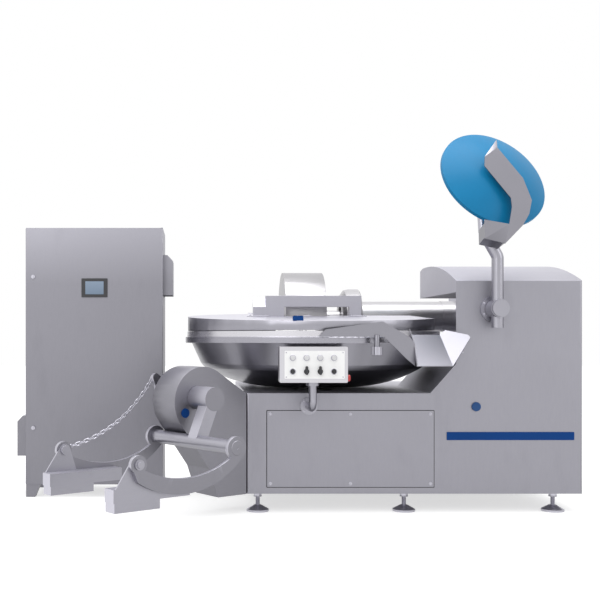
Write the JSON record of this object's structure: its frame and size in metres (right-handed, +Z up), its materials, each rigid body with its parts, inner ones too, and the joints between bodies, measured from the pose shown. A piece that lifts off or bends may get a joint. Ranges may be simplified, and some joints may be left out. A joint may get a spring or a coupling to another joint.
{
  "type": "meat bowl cutter",
  "caption": "Industrial bowl cutter: turning meat bowl under a noise lid, knife shaft with sickle knives, swinging ejector disc, trolley loader, chute, control box and electrical cabinet.",
  "frame": {"origin": "on the floor under the middle of the whole machine with its cabinet and loader", "axes": "+Z up, +X to the operator's right, along the machine's length, +Y away from the operator"},
  "size_m": [3.621, 2.7979, 2.3804],
  "materials": {
    "body_steel": "bead-blasted stainless steel",
    "polished_steel": "ground stainless steel",
    "loader_steel": "stainless steel, as rolled",
    "machine_steel": "turned steel",
    "blade_steel": "ground and honed",
    "cast_pulley": "machined",
    "motor_paint": "grey enamel",
    "belt_rubber": "ribbed",
    "accent_blue": "semi-gloss",
    "panel_white": "satin",
    "switch_black": "matte",
    "stop_red": "gloss"
  },
  "bodies": {
    "machine": {"machine_body": "body_steel", "front_cover": "body_steel", "cover_screws": "loader_steel", "blue_accents": "accent_blue", "foot_pads": "loader_steel", "foot_stems": "loader_steel", "bowl_bearing": "machine_steel", "bowl_gearmotor": "motor_paint", "spindle_housing": "body_steel", "spindle_bearings": "machine_steel", "main_motor": "motor_paint", "drive_belt": "belt_rubber", "hinge_posts": "body_steel", "ejector_bearing": "polished_steel", "loader_housing": "body_steel", "control_box": "body_steel", "panel_plate": "panel_white", "control_stand": "polished_steel", "chute_hinge": "body_steel", "cabinet_body": "body_steel", "electrics_plate": "machine_steel"},
    "bowl": {"bowl_trough": "polished_steel", "bowl_ring": "polished_steel", "bowl_shell": "polished_steel", "bowl_shaft": "machine_steel"},
    "knife": {"knife_shaft": "machine_steel", "knife_blades": "blade_steel", "knife_spacers": "machine_steel", "shaft_pulley": "cast_pulley"},
    "motor_rotor": {"motor_pulley": "cast_pulley"},
    "hood": {"knife_hood": "polished_steel"},
    "lid": {"noise_lid": "polished_steel", "lid_frame": "polished_steel", "lid_grip": "accent_blue"},
    "ejector": {"ejector_arm": "polished_steel", "ejector_drive": "polished_steel", "ejector_scraper": "polished_steel"},
    "disc": {"ejector_disc": "accent_blue"},
    "loader": {"loader_shaft": "loader_steel", "loader_lever": "loader_steel", "cross_pipe": "loader_steel", "loader_sickles": "loader_steel", "loader_carriers": "loader_steel", "loader_chain": "loader_steel"},
    "chute": {"discharge_chute": "polished_steel"},
    "chute_knob": {"star_knob": "loader_steel"},
    "door": {"cabinet_door": "body_steel", "touch_screen": "switch_black"},
    "lock_lower": {"door_lock_lower": "loader_steel"},
    "lock_upper": {"door_lock_upper": "loader_steel"},
    "button_1": {"push_button_1": "panel_white"},
    "button_2": {"push_button_2": "panel_white"},
    "button_3": {"push_button_3": "panel_white"},
    "button_4": {"push_button_4": "panel_white"},
    "selector_l": {"selector_left": "switch_black"},
    "selector_r": {"selector_right": "switch_black"},
    "lever_l": {"lever_switch_left": "switch_black"},
    "lever_r": {"lever_switch_right": "switch_black"},
    "stop": {"stop_button": "stop_red"}
  },
  "joints": [
    {"name": "bowl_spin", "type": "hinge", "parent": "machine", "child": "bowl", "pos_m": [0.214, 0.44, 0.9], "axis": [0, 0, 1], "continuous": true},
    {"name": "knife_spin", "type": "hinge", "parent": "machine", "child": "knife", "pos_m": [0.214, 0.97, 1.242], "axis": [1, 0, 0], "continuous": true},
    {"name": "motor_spin", "type": "hinge", "parent": "machine", "child": "motor_rotor", "pos_m": [1.5, 0.97, 0.42], "axis": [1, 0, 0], "continuous": true},
    {"name": "hood_lift", "type": "hinge", "parent": "machine", "child": "hood", "pos_m": [0.214, 1.35, 1.25], "axis": [-1, 0, 0], "range_deg": [0, 85]},
    {"name": "lid_lift", "type": "hinge", "parent": "machine", "child": "lid", "pos_m": [0.214, 1.35, 1.25], "axis": [-1, 0, 0], "range_deg": [0, 60]},
    {"name": "ejector_swing", "type": "hinge", "parent": "machine", "child": "ejector", "pos_m": [1.253, -0.35, 1.262], "axis": [0, -1, 0], "range_deg": [0, 55]},
    {"name": "ejector_spin", "type": "hinge", "parent": "ejector", "child": "disc", "pos_m": [1.264, -0.24, 2.074], "axis": [0.2516, -0.8385, 0.4833], "continuous": true},
    {"name": "loader_swing", "type": "hinge", "parent": "machine", "child": "loader", "pos_m": [-0.5806, -0.491, 0.726], "axis": [-0.5878, 0.809, 0], "range_deg": [0, 140]},
    {"name": "chute_swing", "type": "hinge", "parent": "machine", "child": "chute", "pos_m": [1.04, -0.286, 1.04], "axis": [0, 0, 1], "range_deg": [0, 50]},
    {"name": "knob_turn", "type": "hinge", "parent": "chute", "child": "chute_knob", "pos_m": [0.497, -0.453, 1], "axis": [0, 0, 1], "continuous": true},
    {"name": "door_swing", "type": "hinge", "parent": "machine", "child": "door", "pos_m": [-0.82, 0.304, 0.95], "axis": [0, 0, 1], "range_deg": [0, 50]},
    {"name": "lock_lower_turn", "type": "hinge", "parent": "door", "child": "lock_lower", "pos_m": [-1.693, 0.298, 0.472], "axis": [0, 1, 0], "range_deg": [0, 90]},
    {"name": "lock_upper_turn", "type": "hinge", "parent": "door", "child": "lock_upper", "pos_m": [-1.693, 0.298, 1.497], "axis": [0, 1, 0], "range_deg": [0, 90]},
    {"name": "button_1_press", "type": "slide", "parent": "machine", "child": "button_1", "axis": [0, 1, 0], "range_m": [0, 0.004], "stiffness_N_per_m": 600},
    {"name": "button_2_press", "type": "slide", "parent": "machine", "child": "button_2", "axis": [0, 1, 0], "range_m": [0, 0.004], "stiffness_N_per_m": 600},
    {"name": "button_3_press", "type": "slide", "parent": "machine", "child": "button_3", "axis": [0, 1, 0], "range_m": [0, 0.004], "stiffness_N_per_m": 600},
    {"name": "button_4_press", "type": "slide", "parent": "machine", "child": "button_4", "axis": [0, 1, 0], "range_m": [0, 0.004], "stiffness_N_per_m": 600},
    {"name": "stop_press", "type": "slide", "parent": "machine", "child": "stop", "axis": [-1, 0, 0], "range_m": [0, 0.005], "stiffness_N_per_m": 900},
    {"name": "selector_l_turn", "type": "hinge", "parent": "machine", "child": "selector_l", "pos_m": [-0.014, -0.512, 0.883], "axis": [0, 1, 0], "range_deg": [-45, 45]},
    {"name": "selector_r_turn", "type": "hinge", "parent": "machine", "child": "selector_r", "pos_m": [0.231, -0.512, 0.883], "axis": [0, 1, 0], "range_deg": [-45, 45]},
    {"name": "lever_l_turn", "type": "hinge", "parent": "machine", "child": "lever_l", "pos_m": [0.068, -0.512, 0.883], "axis": [0, 1, 0], "range_deg": [-45, 45]},
    {"name": "lever_r_turn", "type": "hinge", "parent": "machine", "child": "lever_r", "pos_m": [0.149, -0.512, 0.883], "axis": [0, 1, 0], "range_deg": [-45, 45]}
  ],
  "couplings": [
    {"joint": "motor_spin", "follows": "knife_spin", "ratio": 0.8}
  ]
}
